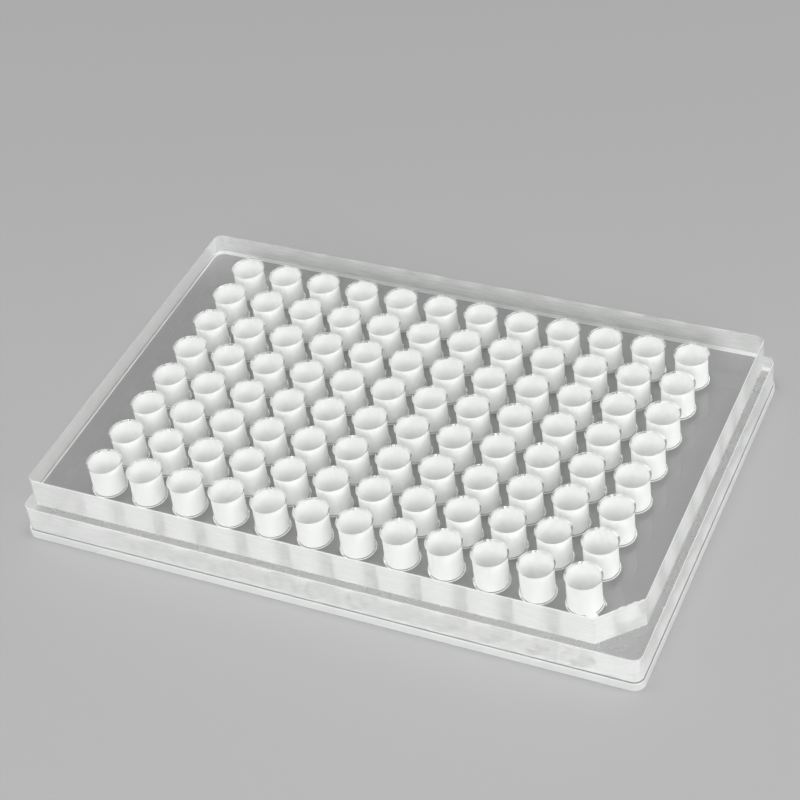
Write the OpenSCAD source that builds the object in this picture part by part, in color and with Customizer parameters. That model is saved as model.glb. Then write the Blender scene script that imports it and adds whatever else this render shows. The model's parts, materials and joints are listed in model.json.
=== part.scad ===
// 96-well plate: a solid clear block drilled through with ground wells, bonded to a flat clear base.
// Origin: centre of the footprint on the resting face. X runs along the rows of twelve wells,
// Y along the columns of eight, Z up. All sizes in millimetres.

/* [Base plate] */
// Footprint length of the base plate
base_l = 127.76; // [124:0.02:160]
// Footprint width of the base plate
base_w = 85.48; // [82:0.02:110]
// Thickness of the base plate that closes the wells
base_t = 2; // [1:0.1:4]
// Radius of the base plate's upright corners
base_corner_r = 2.2; // [1:0.1:6]

/* [Well block] */
// How far the base plate stands out past the block's flange
base_lip = 0.3; // [0.1:0.05:0.8]
// Height of the block's wide lower part, the flange
flange_h = 5.85; // [3:0.05:9]
// Width of the clear ledge on top of the flange
ledge_w = 1.7; // [0.8:0.1:4]
// Height of the block's narrower upper part
upper_h = 6.5; // [3:0.1:10]
// Radius of the upper part's plain upright corners
upper_corner_r = 1.7; // [0.4:0.1:3]
// Leg of the orientation cut at one upper corner
key_cut = 7.2; // [2:0.1:8]

/* [Wells] */
// Number of wells along the length
columns = 12; // [2:1:12]
// Number of wells along the width
rows = 8; // [2:1:8]
// Distance between neighbouring well axes
pitch = 9; // [8:0.1:9.2]
// Diameter of each well
well_d = 6.5; // [4:0.1:7.2]
// Width of the small bevel at both ends of each well
well_bevel = 0.3; // [0.1:0.05:0.5]

/* [Hidden] */

// Number of facets that a full circle is drawn with
$fn = 64;
// How far a cutter runs past the face that it opens
overcut = 1;

block_z = base_t;
ledge_z = block_z + flange_h;
top_z = ledge_z + upper_h;

flange_l = base_l - 2 * base_lip;
flange_w = base_w - 2 * base_lip;
flange_corner_r = base_corner_r - base_lip;

upper_l = flange_l - 2 * ledge_w;
upper_w = flange_w - 2 * ledge_w;

well_r = well_d / 2;
well_mouth_r = well_r + well_bevel;

// Rectangle centred on the origin, with every corner rounded.
module rounded_rect(length, width, radius) {
    square([length - 2 * radius, width], center = true);
    square([length, width - 2 * radius], center = true);
    for (x = [-1, 1], y = [-1, 1])
        translate([x * (length / 2 - radius), y * (width / 2 - radius)])
            circle(r = radius);
}

// Outline of the upper part, with the orientation cut at its front right corner.
module upper_outline() {
    difference() {
        rounded_rect(upper_l, upper_w, upper_corner_r);
        translate([upper_l / 2, -upper_w / 2])
            rotate(45)
                square(key_cut * sqrt(2), center = true);
    }
}

// Axis of each well, on the block's lower face.
module at_wells() {
    for (i = [0 : columns - 1], j = [0 : rows - 1])
        translate([
            (i - (columns - 1) / 2) * pitch,
            (j - (rows - 1) / 2) * pitch,
            block_z
        ])
            children();
}

// Space that one well takes out of the block: a straight hole that opens at a bevel at each end.
module well_space() {
    depth = top_z - block_z;
    rotate_extrude()
        polygon([
            [0, -overcut],
            [well_mouth_r + overcut, -overcut],
            [well_r, well_bevel],
            [well_r, depth - well_bevel],
            [well_mouth_r + overcut, depth + overcut],
            [0, depth + overcut]
        ]);
}

module well_block() {
    color([0.90, 0.93, 0.93, 0.55])
        difference() {
            union() {
                translate([0, 0, block_z])
                    linear_extrude(flange_h)
                        rounded_rect(flange_l, flange_w, flange_corner_r);
                translate([0, 0, block_z])
                    linear_extrude(flange_h + upper_h)
                        upper_outline();
            }
            at_wells() well_space();
        }
}

module base_plate() {
    color([0.86, 0.92, 0.94, 0.45])
        linear_extrude(base_t)
            rounded_rect(base_l, base_w, base_corner_r);
}

well_block();
base_plate();
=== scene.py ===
"""Looks of a clear 96-well plate: one solid block of polished glass, drilled with 96 wells whose walls are
ground to a white frost, on a polished base plate that is bonded to it.

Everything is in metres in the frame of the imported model: X along the rows of twelve wells, Y along the
columns of eight, Z up, with the origin under the middle of the plate on the face that it stands on.
"""

import json
import math

import bpy
import numpy as np
from mathutils import Matrix, Vector


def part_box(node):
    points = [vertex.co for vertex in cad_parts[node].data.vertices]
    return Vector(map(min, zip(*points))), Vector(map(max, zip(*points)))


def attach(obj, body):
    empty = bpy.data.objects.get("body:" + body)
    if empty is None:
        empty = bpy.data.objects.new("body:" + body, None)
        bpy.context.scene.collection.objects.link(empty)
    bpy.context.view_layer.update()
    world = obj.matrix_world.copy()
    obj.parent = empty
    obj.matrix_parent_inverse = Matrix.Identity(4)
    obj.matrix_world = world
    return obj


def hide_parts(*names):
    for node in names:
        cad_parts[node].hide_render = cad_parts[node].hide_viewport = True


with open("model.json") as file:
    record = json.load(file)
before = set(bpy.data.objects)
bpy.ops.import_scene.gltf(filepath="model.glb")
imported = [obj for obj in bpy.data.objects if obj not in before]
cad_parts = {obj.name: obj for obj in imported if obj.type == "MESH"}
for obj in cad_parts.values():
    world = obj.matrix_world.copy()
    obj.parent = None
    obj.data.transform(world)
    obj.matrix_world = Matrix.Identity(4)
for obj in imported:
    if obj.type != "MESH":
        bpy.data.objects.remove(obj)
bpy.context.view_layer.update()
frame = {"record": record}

MM = 0.001

# ---------------------------------------------------------------- sizes read from the frame

BLOCK_LO, BLOCK_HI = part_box("well_block")
BASE_LO, BASE_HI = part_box("base_plate")
FLANGE_L, FLANGE_W = BLOCK_HI.x - BLOCK_LO.x, BLOCK_HI.y - BLOCK_LO.y
BASE_L, BASE_W = BASE_HI.x - BASE_LO.x, BASE_HI.y - BASE_LO.y
TOP_Z, JOINT_Z, FOOT_Z = BLOCK_HI.z, BASE_HI.z, BASE_LO.z

WELL_DIMS = [m["dims"] for m in frame["record"]["mounts"] if m["kind"] == "bolt_pattern"]
SPANS_X = sorted({d["spacing_x_mm"] * MM for d in WELL_DIMS})
SPANS_Y = sorted({d["spacing_y_mm"] * MM for d in WELL_DIMS})
PITCH = SPANS_X[0]
COLUMNS, ROWS = 2 * len(SPANS_X), 2 * len(SPANS_Y)  # each pattern is four wells evenly about the middle
WELL_R = WELL_DIMS[0]["hole_r_mm"] * MM

# ---------------------------------------------------------------- sizes of the block's section

LEDGE_W = 1.7 * MM  # clear step between the flange and the upper part
UPPER_H = 6.5 * MM
LEDGE_Z = TOP_Z - UPPER_H
UPPER_L, UPPER_W = FLANGE_L - 2 * LEDGE_W, FLANGE_W - 2 * LEDGE_W
UPPER_CORNER_R = 1.7 * MM
BASE_CORNER_R = 2.2 * MM
FLANGE_CORNER_R = BASE_CORNER_R - (BASE_L - FLANGE_L) / 2
KEY_CUT = 7.2 * MM  # leg of the orientation cut
WELL_BEVEL = 0.3 * MM  # at both ends of each well
FLOOR_RIM = 0.12 * MM  # ground outer part of the lower bevel, beside the bond
EDGE_BEVEL = 0.15 * MM  # fine ground bevel along the block's and the plate's outer edges
BOND_GROOVE = 0.2 * MM  # depth and height of the groove along the bond line
CHIP_DEPTH = 0.35 * MM  # deepest chip along the top edge of the orientation cut
CHIP_REACH = KEY_CUT + 0.8 * MM  # from the missing corner, along both sides together
CHIP_SEED = 12

SIDE_STEPS = 16  # facets of a well along one side of its square cell, a quarter turn
CORNER_STEPS = 8  # facets of half an upright corner
CORNERS = np.array([(-1, -1), (1, -1), (1, 1), (-1, 1)])  # counter-clockwise from the front left
WELD = 0.001 * MM  # grid on which points are joined
SHARP_ANGLE = math.radians(30)  # an edge that bends more isn't shaded as a curve

POLISHED, BEVEL, FROSTED, SATIN, LEDGE, GROUND, UNDERSIDE = range(7)  # material slots of the glass body

# ---------------------------------------------------------------- finish, camera and light values

GLASS_IOR = 1.46  # fused quartz

MARK_SPACING = 10  # in sizes of a mark
MARK_ROUGHNESS = 0.35
SCRATCHES = {"Length": 7 * MM, "Width": 0.05 * MM, "Turn": 0.5, "Share": 0.15}  # turned in radians
DUST = {"Length": 0.15 * MM, "Width": 0.15 * MM, "Turn": 0.0, "Share": 0.12}
BEVEL_CHIPS = {"Length": 0.1 * MM, "Width": 0.08 * MM, "Turn": 0.0, "Share": 0.08}
WIPED_RELIEF, CHIP_RELIEF = 0.003 * MM, 0.002 * MM

FULL_CONTRAST, SOFT_CONTRAST = (0.35, 0.65), (0.2, 0.8)  # part of the noise's range that is used
GRAIN_DETAIL, GRAIN_FINENESS = 2.0, 0.6  # finer octaves of the noise, and how much each of them counts

SATIN_GRAIN, SATIN_RELIEF = {"Along": 4 * MM, "Across": 0.3 * MM, "Patch": 3 * MM}, 0.001 * MM
SATIN_LIGHT, SATIN_DARK = (0.98, 0.985, 0.98), (0.89, 0.9, 0.89)
SATIN_CLEARNESS, SATIN_ROUGHNESS = 0.4, (0.06, 0.18)
# painted shade: darker tone of the satin streaks on the back walls
BACK_PAINTED_SHADE = (0.72, 0.735, 0.725)
BACK_FADE = 1 * MM  # over which painted shade darkens the streaks toward the back wall

LEDGE_GRAIN, LEDGE_RELIEF = {"Along": 0.2 * MM, "Across": 0.2 * MM, "Patch": 4 * MM}, 0.008 * MM
LEDGE_CLEARNESS, LEDGE_ROUGHNESS = 0.85, (0.1, 0.44)

GROUND_GRAIN, GROUND_RELIEF = {"Along": 0.5 * MM, "Across": 0.08 * MM, "Patch": 4 * MM}, 0.02 * MM
GROUND_LIGHT, GROUND_DARK = (0.97, 0.975, 0.97), (0.88, 0.9, 0.9)
GROUND_CLEARNESS, GROUND_ROUGHNESS = 0.3, (0.5, 0.75)

FROST_GRAIN, FROST_RELIEF = {"Along": 1.5 * MM, "Across": 0.1 * MM, "Patch": 2.5 * MM}, 0.015 * MM
FROST_LIGHT, FROST_DARK = (0.985, 0.99, 0.98), (0.955, 0.967, 0.955)
FROST_ROUGHNESS = (0.7, 0.9)

VIEW_AZIMUTH, VIEW_ELEVATION, VIEW_ROLL = math.radians(28.78), math.radians(41.21), math.radians(-7.87)
VIEW_TARGET = Vector((-3.56, 7.00, 9.35)) * MM
VIEW_DISTANCE = 414.4 * MM
VIEW_LENS = 92.93
VIEW_CLIP = 0.01, 20  # nearest and furthest that is seen, in metres

FLOOR_HALF = 3  # half of its side, in metres
FLOOR_GAP = 0.05 * MM  # under the plate's foot
FLOOR_TONE, FLOOR_ROUGHNESS, FLOOR_GLOSS = 0.5, 0.9, 0.1
BACKDROP_TONE = 0.45
BACKDROP_START, BACKDROP_FULL = 0.3, 0.8  # metres from the middle of the plate
SKY = 0.26  # strength of its light
LAMP_SIZE, LAMP_DISTANCE = 0.8, 1.2  # metres
LAMPS = (("key_lamp", 15, 38, 7.6),  # azimuth and elevation in degrees, and watts
         ("left_lamp", -75, 42, 4),
         ("right_lamp", 98, 36, 5.6))


# ---------------------------------------------------------------- outlines

def outline(length, width, radius, cut=0.0):
    """Closed loop of points round a rectangle with rounded corners, counter-clockwise from its front left.

    Each side runs from the middle of one corner arc to the middle of the next: half an arc of CORNER_STEPS
    facets, a straight stretch, and half an arc again. It has as many facets as the wells' cells along it,
    so a loop pairs off point by point with the border of the well grid. With a cut, the front right corner
    is a straight line between the points that lie the cut's length back from it along both sides.
    """
    half = np.array([length, width]) / 2
    corners = CORNERS * (half - radius)
    share = np.linspace(0, 1, CORNER_STEPS + 1)[:, None]
    sides = []
    for side in range(4):
        facing = (side - 1) * math.pi / 2
        outward = np.array([math.cos(facing), math.sin(facing)])
        start, end = corners[side] + radius * outward, corners[(side + 1) % 4] + radius * outward
        rise, fall = facing + (share - 1) * math.pi / 4, facing + share * math.pi / 4
        first = corners[side] + radius * np.hstack([np.cos(rise), np.sin(rise)])
        last = corners[(side + 1) % 4] + radius * np.hstack([np.cos(fall), np.sin(fall)])
        if cut and side == 0:
            end = half * (1, -1) - (cut, 0)
            last = end + share * cut / 2
        if cut and side == 1:
            start = half * (1, -1) + (0, cut)
            first = start - (1 - share) * cut / 2
        steps = SIDE_STEPS * (COLUMNS, ROWS)[side % 2] - 2 * CORNER_STEPS
        along = np.linspace(0, 1, steps + 1)[1:-1, None]
        sides.append(np.vstack([first, start + (end - start) * along, last[:-1]]))
    return np.vstack(sides)


def inset(length, width, radius, depth, cut=0.0):
    """The outline drawn in by a depth all round, by which a cut at 45 degrees loses (2 - root 2) of it."""
    less = cut - depth * (2 - math.sqrt(2)) if cut else 0.0
    return outline(length - 2 * depth, width - 2 * depth, radius - depth, less)


def rectangle(length, width, steps_x, steps_y):
    """Closed loop of evenly spaced points round a rectangle, counter-clockwise from its front left."""
    corners = CORNERS * np.array([length, width]) / 2
    sides = []
    for side in range(4):
        along = np.linspace(0, 1, (steps_x, steps_y)[side % 2] + 1)[:-1, None]
        sides.append(corners[side] + (corners[(side + 1) % 4] - corners[side]) * along)
    return np.vstack(sides)


def circle(radius):
    """Closed loop of points on a circle, counter-clockwise from the side of a cell's front left corner."""
    count = 4 * SIDE_STEPS
    angle = 2 * math.pi * np.arange(count) / count - 3 * math.pi / 4
    return radius * np.column_stack([np.cos(angle), np.sin(angle)])


def chipped(length, width, radius, cut):
    """Loop of the top edge drawn in by the bevel, and further by a random depth at points of the cut face.

    A chip's depth is CHIP_DEPTH times the square of an even random number, so most chips are small.
    """
    fine = inset(length, width, radius, EDGE_BEVEL, cut)
    deep = inset(length, width, radius, EDGE_BEVEL + CHIP_DEPTH, cut)
    corner = np.array([length, -width]) / 2
    near_cut = np.abs(fine - corner).sum(axis=1) < CHIP_REACH
    share = np.random.default_rng(CHIP_SEED).random(len(fine)) ** 2 * near_cut
    return fine + (deep - fine) * share[:, None]


def lift(loop, z):
    """A flat loop at a height."""
    return np.column_stack([loop, np.full(len(loop), z)])


# ---------------------------------------------------------------- meshes

def strips(rings):
    """Quads between closed rings of equally many points, with ring r's point i at index r * size + i.

    The rings run counter-clockwise seen from above. A strip faces the axis where its rings climb, up where
    they widen and away from the axis where they go down.
    """
    count, size = len(rings), len(rings[0])
    index = np.arange(count * size).reshape(count, size)
    near, far = index[:-1], index[1:]
    return np.stack([near, far, np.roll(far, -1, 1), np.roll(near, -1, 1)], -1)


def build_mesh(name, points, faces, slots):
    """Mesh object from points, a list of equally sided face arrays and the material slot of each face.

    Points that round to the same multiples of WELD become one.
    """
    _, first, which = np.unique(np.round(points / WELD).astype(np.int64), axis=0,
                                return_index=True, return_inverse=True)
    which = which.reshape(-1)
    mesh = bpy.data.meshes.new(name)
    corners = np.concatenate([which[f].reshape(-1) for f in faces])
    sizes = np.concatenate([np.full(len(f), f.shape[1]) for f in faces])
    mesh.vertices.add(len(first))
    mesh.vertices.foreach_set("co", points[first].reshape(-1))
    mesh.loops.add(len(corners))
    mesh.loops.foreach_set("vertex_index", corners)
    mesh.polygons.add(len(sizes))
    mesh.polygons.foreach_set("loop_start", np.concatenate([[0], np.cumsum(sizes)[:-1]]))
    mesh.polygons.foreach_set("material_index", np.concatenate(slots))
    mesh.update(calc_edges=True)
    mesh.validate()
    mesh.shade_smooth()
    mesh.set_sharp_from_angle(angle=SHARP_ANGLE)
    piece = bpy.data.objects.new(name, mesh)
    bpy.context.scene.collection.objects.link(piece)
    return piece


def well_rings():
    """Rings of one well's cell about its own axis, from the rim of its floor up the wall and over the top.

    The wall is a cylinder, and a bevel of 45 degrees widens it at the floor and at the mouth. The lower
    bevel's outermost part is a ground rim.
    """
    mouth_r = WELL_R + WELL_BEVEL
    return np.array([
        lift(circle(mouth_r), JOINT_Z),
        lift(circle(mouth_r - FLOOR_RIM), JOINT_Z + FLOOR_RIM),
        lift(circle(WELL_R), JOINT_Z + WELL_BEVEL),
        lift(circle(WELL_R), TOP_Z - WELL_BEVEL),
        lift(circle(mouth_r), TOP_Z),
        lift(rectangle(PITCH, PITCH, SIDE_STEPS, SIDE_STEPS), TOP_Z),
    ])


def shell_rings():
    """Rings of the outer shell, from the border of the well grid out over the top and down to the foot."""
    upper = (UPPER_L, UPPER_W, UPPER_CORNER_R)
    flange = (FLANGE_L, FLANGE_W, FLANGE_CORNER_R)
    base = (BASE_L, BASE_W, BASE_CORNER_R)
    bond_z = JOINT_Z + BOND_GROOVE
    return np.array([
        lift(rectangle(COLUMNS * PITCH, ROWS * PITCH, COLUMNS * SIDE_STEPS, ROWS * SIDE_STEPS), TOP_Z),
        lift(chipped(*upper, KEY_CUT), TOP_Z),
        lift(inset(*upper, 0, KEY_CUT), TOP_Z - EDGE_BEVEL),
        lift(inset(*upper, 0, KEY_CUT), LEDGE_Z),
        lift(inset(*flange, EDGE_BEVEL), LEDGE_Z),
        lift(inset(*flange, 0), LEDGE_Z - EDGE_BEVEL),
        lift(inset(*flange, 0), bond_z),
        lift(inset(*flange, BOND_GROOVE), JOINT_Z),
        lift(inset(*base, EDGE_BEVEL), JOINT_Z),
        lift(inset(*base, 0), JOINT_Z - EDGE_BEVEL),
        lift(inset(*base, 0), FOOT_Z + EDGE_BEVEL),
        lift(inset(*base, EDGE_BEVEL), FOOT_Z),
    ])


def glass_body():
    """The bonded block and base plate as one closed surface, since bonded glass shows no seam inside.

    Each well's cell is a copy of the well's rings, moved to its place on the grid, and the shell's rings go
    round them all. Flat faces close the wells' floors and the underside.
    """
    well, shell = well_rings(), shell_rings()
    well_size, ring_size = well.shape[0] * well.shape[1], well.shape[1]
    centre_x = (np.arange(COLUMNS) - (COLUMNS - 1) / 2) * PITCH
    centre_y = (np.arange(ROWS) - (ROWS - 1) / 2) * PITCH
    centres = np.array([(x, y, 0) for y in centre_y for x in centre_x])
    well_points = (centres[:, None, :] + well.reshape(1, -1, 3)).reshape(-1, 3)
    step = np.arange(len(centres))[:, None, None] * well_size

    faces, slots = [], []
    for strip, slot in zip(strips(well), (FROSTED, BEVEL, FROSTED, BEVEL, POLISHED)):
        quads = (step + strip[None]).reshape(-1, 4)
        faces.append(quads)
        slots.append(np.full(len(quads), slot))
    floors = step[:, 0] + np.arange(ring_size)[None]
    faces.append(floors)
    slots.append(np.full(len(floors), POLISHED))

    offset = len(well_points)
    shell_slots = (POLISHED, GROUND, SATIN, LEDGE, GROUND, SATIN,
                   POLISHED, POLISHED, GROUND, GROUND, GROUND)
    for strip, slot in zip(strips(shell), shell_slots):
        faces.append(strip + offset)
        slots.append(np.full(len(strip), slot))
    loop = np.arange(shell.shape[1])[::-1] + (len(shell) - 1) * shell.shape[1] + offset
    faces.append(loop[None])
    slots.append(np.array([UNDERSIDE]))
    points = np.vstack([well_points, shell.reshape(-1, 3)])
    return build_mesh("glass_body", points, faces, slots)


# ---------------------------------------------------------------- node helpers

def add_node(tree, kind, values=None, **settings):
    """New shader node with its settings and inputs; an input given as a socket is linked."""
    made = tree.nodes.new("ShaderNode" + kind)
    for key, value in settings.items():
        setattr(made, key, value)
    for key, value in (values or {}).items():
        if isinstance(value, bpy.types.NodeSocket):
            tree.links.new(value, made.inputs[key])
        else:
            made.inputs[key].default_value = value
    return made


def maths(tree, operation, first, second):
    """Result of a Math node; its two inputs are sockets or numbers."""
    return add_node(tree, "Math", {0: first, 1: second}, operation=operation).outputs["Value"]


def ramp(tree, value, start, end, low=0.0, high=1.0):
    """Value carried from start..end to low..high and held there past both ends."""
    ends = {"Value": value, "From Min": start, "From Max": end, "To Min": low, "To Max": high}
    return add_node(tree, "MapRange", ends, clamp=True).outputs["Result"]


def blend(tree, factor, first, second):
    """Colour from the first to the second by a factor of 0 to 1; each is a socket or three numbers."""
    colour_a, colour_b, colour_result = 6, 7, 2  # the Mix node's sockets for colours
    ends = {"Factor": factor}
    for key, colour in ((colour_a, first), (colour_b, second)):
        ends[key] = colour if isinstance(colour, bpy.types.NodeSocket) else (*colour, 1)
    return add_node(tree, "Mix", ends, data_type="RGBA").outputs[colour_result]


def new_group(name, inputs, outputs):
    """Empty shader node group with a Place and other inputs, and its input and output nodes."""
    group = bpy.data.node_groups.new(name, "ShaderNodeTree")
    group.interface.new_socket("Place", in_out="INPUT", socket_type="NodeSocketVector")
    for title in inputs:
        group.interface.new_socket(title, in_out="INPUT", socket_type="NodeSocketFloat")
    for title in outputs:
        group.interface.new_socket(title, in_out="OUTPUT", socket_type="NodeSocketFloat")
    return group, group.nodes.new("NodeGroupInput"), group.nodes.new("NodeGroupOutput")


def marks_group():
    """Sparse short marks seen from above: specks, or scratches where Length is many times Width.

    The plane is turned by Turn and divided into cells of MARK_SPACING times Length by MARK_SPACING times
    Width. In each cell the mask falls from 1 at a random point to 0 at up to one Length and one Width from
    it, less for most marks by the cell's own random number, and only Share of the cells have a mark.
    """
    group, given, result = new_group("marks", ["Length", "Width", "Turn", "Share"], ["Mask"])
    turned = add_node(group, "VectorRotate", {"Vector": given.outputs["Place"],
                                              "Angle": given.outputs["Turn"]}, rotation_type="Z_AXIS")
    size = add_node(group, "CombineXYZ", {"X": given.outputs["Length"], "Y": given.outputs["Width"],
                                          "Z": 1.0})
    cells = add_node(group, "VectorMath", {0: turned.outputs["Vector"], 1: size.outputs["Vector"]},
                     operation="DIVIDE")
    point = add_node(group, "TexVoronoi", {"Vector": cells.outputs["Vector"], "Scale": 1 / MARK_SPACING,
                                           "Randomness": 1.0}, voronoi_dimensions="2D")
    lots = add_node(group, "SeparateColor", {"Color": point.outputs["Color"]})
    there = maths(group, "LESS_THAN", lots.outputs["Red"], given.outputs["Share"])
    reach = maths(group, "DIVIDE", point.outputs["Distance"], lots.outputs["Green"])
    mask = maths(group, "MULTIPLY", ramp(group, reach, 1 / MARK_SPACING, 0.0), there)
    group.links.new(mask, result.inputs["Mask"])
    return group


def grain_group():
    """Ground finish: Height is noise of the size Along by Across, and Tone is noise of a Patch's size."""
    group, given, result = new_group("grain", ["Along", "Across", "Patch"], ["Height", "Tone"])
    grit = add_node(group, "CombineXYZ", {"X": given.outputs["Along"], "Y": given.outputs["Along"],
                                          "Z": given.outputs["Across"]})
    fine = add_node(group, "VectorMath", {0: given.outputs["Place"], 1: grit.outputs["Vector"]},
                    operation="DIVIDE")
    patch = add_node(group, "CombineXYZ", {axis: given.outputs["Patch"] for axis in "XYZ"})
    slow = add_node(group, "VectorMath", {0: given.outputs["Place"], 1: patch.outputs["Vector"]},
                    operation="DIVIDE")
    for place, title in ((fine, "Height"), (slow, "Tone")):
        noise = add_node(group, "TexNoise", {"Vector": place.outputs["Vector"], "Scale": 1.0,
                                             "Detail": GRAIN_DETAIL, "Roughness": GRAIN_FINENESS})
        group.links.new(noise.outputs["Fac"], result.inputs[title])
    return group


# ---------------------------------------------------------------- materials

def new_material(name):
    """Empty node material with its Principled BSDF, and the place on the plate in metres."""
    material = bpy.data.materials.new(name)
    material.use_nodes = True
    tree = material.node_tree
    return material, tree, tree.nodes["Principled BSDF"], add_node(tree, "TexCoord").outputs["Object"]


def show_mixed(tree, factor, first, second):
    """Makes the surface go from the first shader to the second by a factor of 0 to 1."""
    mix = add_node(tree, "MixShader", {0: factor, 1: first, 2: second})
    tree.links.new(mix.outputs["Shader"], tree.nodes["Material Output"].inputs["Surface"])


def clear_through(tree, surface):
    """Lets the lamps' own light pass a clear face straight through, as a thin clear sheet would."""
    path, clear = add_node(tree, "LightPath"), add_node(tree, "BsdfTransparent")
    show_mixed(tree, path.outputs["Is Shadow Ray"], surface.outputs["BSDF"], clear.outputs["BSDF"])


def set_glass(surface, base=(1, 1, 1), transmission=1.0):
    """Glass of a base colour that lets a share of the light through."""
    surface.inputs["Base Color"].default_value = (*base, 1)
    surface.inputs["IOR"].default_value = GLASS_IOR
    surface.inputs["Transmission Weight"].default_value = transmission


def set_relief(tree, surface, height, depth):
    """Bump of a real depth in metres, from a height of 0 to 1."""
    bump = add_node(tree, "Bump", {"Height": height, "Strength": 1.0, "Distance": depth})
    tree.links.new(bump.outputs["Normal"], surface.inputs["Normal"])


def marks_on(tree, place, sizes):
    """Mask of the marks of some sizes."""
    return add_node(tree, "Group", {"Place": place, **sizes}, node_tree=MARKS).outputs["Mask"]


def set_marks(tree, surface, mask, depth):
    """Marks on a polished face: rough, and raised by their depth."""
    tree.links.new(maths(tree, "MULTIPLY", mask, MARK_ROUGHNESS), surface.inputs["Roughness"])
    set_relief(tree, surface, mask, depth)


def set_grain(tree, surface, place, sizes, depth):
    """Relief of a ground face; gives its Height and Tone back."""
    grain = add_node(tree, "Group", {"Place": place, **sizes}, node_tree=GRAIN)
    set_relief(tree, surface, grain.outputs["Height"], depth)
    return grain.outputs["Height"], grain.outputs["Tone"]


def set_roughness(tree, surface, noise, contrast, roughness):
    """Roughness from its least to its most over the part of a noise's range that the contrast gives."""
    tree.links.new(ramp(tree, noise, *contrast, *roughness), surface.inputs["Roughness"])


def polished_glass(name, lets_lamps_through):
    """Clear polished face with fine wiping scratches and sparse specks of dust."""
    material, tree, surface, place = new_material(name)
    set_glass(surface)
    marks = maths(tree, "MAXIMUM", marks_on(tree, place, SCRATCHES), marks_on(tree, place, DUST))
    set_marks(tree, surface, marks, WIPED_RELIEF)
    if lets_lamps_through:
        clear_through(tree, surface)
    return material


def well_bevel():
    """Polished bevel at a well's mouth or floor, with tiny chips."""
    material, tree, surface, place = new_material("well_bevel")
    set_glass(surface)
    set_marks(tree, surface, marks_on(tree, place, BEVEL_CHIPS), CHIP_RELIEF)
    clear_through(tree, surface)
    return material


def satin_side():
    """Outer wall of the block, ground along its length to a satin that veils and blurs what lies behind.

    The streaks are light and dark bands of noise, many times as long as they are high. The dark ones
    deepen by painted shade over the last BACK_FADE of the upper part's width, so they are darkest on the
    back walls.
    """
    material, tree, surface, place = new_material("satin_side")
    set_glass(surface, transmission=SATIN_CLEARNESS)
    streaks, _ = set_grain(tree, surface, place, SATIN_GRAIN, SATIN_RELIEF)
    across = add_node(tree, "SeparateXYZ", {"Vector": place}).outputs["Y"]
    # painted shade: the dark streaks deepen toward the back walls
    dark = blend(tree, ramp(tree, across, UPPER_W / 2 - BACK_FADE, UPPER_W / 2), SATIN_DARK, BACK_PAINTED_SHADE)
    tone = blend(tree, ramp(tree, streaks, *FULL_CONTRAST), dark, SATIN_LIGHT)
    tree.links.new(tone, surface.inputs["Base Color"])
    set_roughness(tree, surface, streaks, FULL_CONTRAST, SATIN_ROUGHNESS)
    clear_through(tree, surface)
    return material


def milled_ledge():
    """Half-matt milled step with a fine grain, matter in patches."""
    material, tree, surface, place = new_material("milled_ledge")
    set_glass(surface, SATIN_LIGHT, LEDGE_CLEARNESS)
    _, patches = set_grain(tree, surface, place, LEDGE_GRAIN, LEDGE_RELIEF)
    set_roughness(tree, surface, patches, FULL_CONTRAST, LEDGE_ROUGHNESS)
    clear_through(tree, surface)
    return material


def ground_edge():
    """Finely ground edge, white in the light, with an even grit and slow patches."""
    material, tree, surface, place = new_material("ground_edge")
    set_glass(surface, transmission=GROUND_CLEARNESS)
    grit, patches = set_grain(tree, surface, place, GROUND_GRAIN, GROUND_RELIEF)
    tree.links.new(blend(tree, patches, GROUND_DARK, GROUND_LIGHT), surface.inputs["Base Color"])
    set_roughness(tree, surface, grit, SOFT_CONTRAST, GROUND_ROUGHNESS)
    return material


def frosted_wall():
    """Well wall ground to a white frost, with the faint rings that the core drill leaves."""
    material, tree, surface, place = new_material("frosted_wall")
    surface.inputs["IOR"].default_value = GLASS_IOR
    rings, patches = set_grain(tree, surface, place, FROST_GRAIN, FROST_RELIEF)
    tree.links.new(blend(tree, patches, FROST_DARK, FROST_LIGHT), surface.inputs["Base Color"])
    set_roughness(tree, surface, rings, SOFT_CONTRAST, FROST_ROUGHNESS)
    return material


# ---------------------------------------------------------------- camera, light and floor

def toward(azimuth, elevation):
    """Unit vector from the plate toward an azimuth, 0 at the front and a quarter turn at the right."""
    return Vector((math.sin(azimuth) * math.cos(elevation),
                   -math.cos(azimuth) * math.cos(elevation),
                   math.sin(elevation)))


def add_camera():
    """Camera that looks at the plate from its front right, a little rolled."""
    back = toward(VIEW_AZIMUTH, VIEW_ELEVATION)
    level = Vector((0, 0, 1)).cross(back).normalized()
    upright = back.cross(level)
    right = level * math.cos(VIEW_ROLL) + upright * math.sin(VIEW_ROLL)
    up = upright * math.cos(VIEW_ROLL) - level * math.sin(VIEW_ROLL)
    lens = bpy.data.cameras.new("camera")
    lens.lens = VIEW_LENS
    lens.clip_start, lens.clip_end = VIEW_CLIP
    camera = bpy.data.objects.new("camera", lens)
    turn = Matrix((right, up, back)).transposed().to_4x4()
    camera.matrix_world = Matrix.Translation(VIEW_TARGET + back * VIEW_DISTANCE) @ turn
    bpy.context.scene.collection.objects.link(camera)
    bpy.context.scene.camera = camera


def in_view(tree):
    """1 for the view's own rays, also by mirror and through glass, and 0 for those that light the plate."""
    path = add_node(tree, "LightPath")
    mirrored = maths(tree, "MAXIMUM", path.outputs["Is Glossy Ray"], path.outputs["Is Transmission Ray"])
    seen = maths(tree, "MAXIMUM", path.outputs["Is Camera Ray"], mirrored)
    unscattered = maths(tree, "LESS_THAN", path.outputs["Diffuse Depth"], 0.5)  # a depth of 0
    return maths(tree, "MULTIPLY", seen, unscattered)


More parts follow.
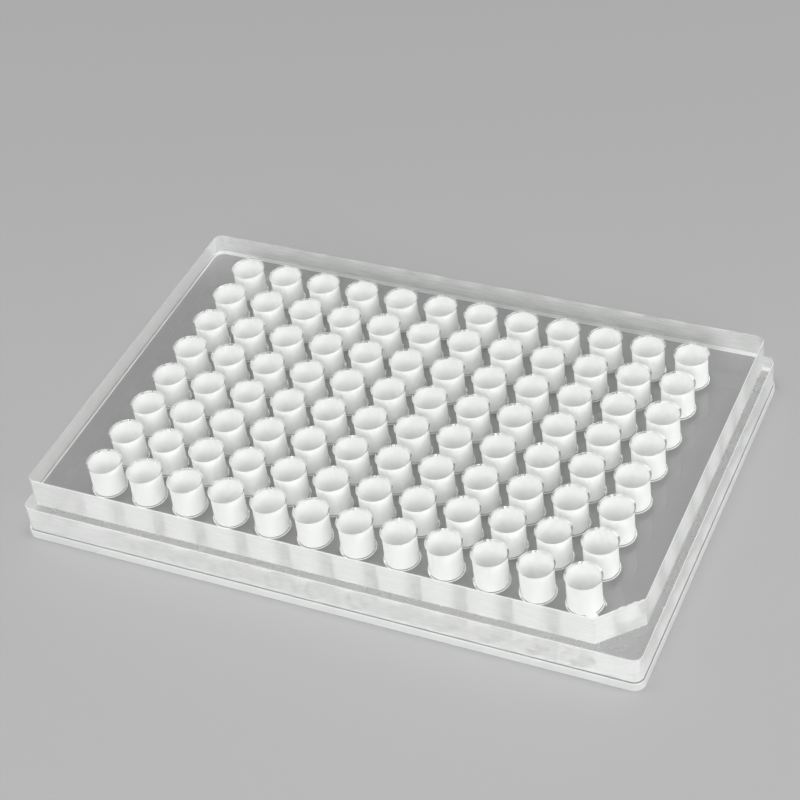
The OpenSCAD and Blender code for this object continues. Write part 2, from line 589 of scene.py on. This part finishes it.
def add_floor():
    """Plain pale floor just under the plate, which fades into the backdrop's tone further out."""
    mesh = bpy.data.meshes.new("floor")
    mesh.from_pydata(lift(CORNERS * FLOOR_HALF, FOOT_Z - FLOOR_GAP), [], [(0, 1, 2, 3)])
    floor = bpy.data.objects.new("floor", mesh)
    bpy.context.scene.collection.objects.link(floor)
    material, tree, surface, place = new_material("floor")
    surface.inputs["Base Color"].default_value = (FLOOR_TONE, FLOOR_TONE, FLOOR_TONE, 1)
    surface.inputs["Roughness"].default_value = FLOOR_ROUGHNESS
    surface.inputs["Specular IOR Level"].default_value = FLOOR_GLOSS
    away = add_node(tree, "VectorMath", {0: place}, operation="LENGTH")
    far = ramp(tree, away.outputs["Value"], BACKDROP_START, BACKDROP_FULL)
    backdrop = add_node(tree, "Emission", {"Color": (BACKDROP_TONE, BACKDROP_TONE, BACKDROP_TONE, 1)})
    show_mixed(tree, maths(tree, "MULTIPLY", far, in_view(tree)), surface.outputs["BSDF"],
               backdrop.outputs["Emission"])
    mesh.materials.append(material)


def add_lamp(name, azimuth, elevation, power):
    """Soft square lamp that faces the middle of the plate."""
    place = LAMP_DISTANCE * toward(math.radians(azimuth), math.radians(elevation))
    lamp = bpy.data.lights.new(name, "AREA")
    lamp.shape = "SQUARE"
    lamp.size = LAMP_SIZE
    lamp.energy = power
    holder = bpy.data.objects.new(name, lamp)
    holder.location = place
    holder.rotation_euler = place.to_track_quat("Z", "Y").to_euler()
    holder.visible_transmission = False
    bpy.context.scene.collection.objects.link(holder)


def add_light():
    """Even sky with three large soft lamps. What is seen of the sky has the backdrop's tone."""
    world = bpy.data.worlds.new("studio")
    bpy.context.scene.world = world
    world.use_nodes = True
    tree = world.node_tree
    tree.nodes["Background"].inputs["Color"].default_value = (1, 1, 1, 1)
    tree.links.new(ramp(tree, in_view(tree), 0.0, 1.0, SKY, BACKDROP_TONE),
                   tree.nodes["Background"].inputs["Strength"])
    for lamp in LAMPS:
        add_lamp(*lamp)


MARKS, GRAIN = marks_group(), grain_group()

body = glass_body()
for slot_material in (polished_glass("polished_glass", True), well_bevel(), frosted_wall(), satin_side(),
                      milled_ledge(), ground_edge(), polished_glass("polished_underside", False)):
    body.data.materials.append(slot_material)  # in the order of the slots' numbers
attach(body, "root")
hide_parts("well_block", "base_plate")

add_camera()
add_floor()
add_light()

scene = bpy.context.scene
scene.view_settings.view_transform = "Standard"
scene.cycles.max_bounces = 24
scene.cycles.diffuse_bounces = 8
scene.cycles.glossy_bounces = 12
scene.cycles.transmission_bounces = 24
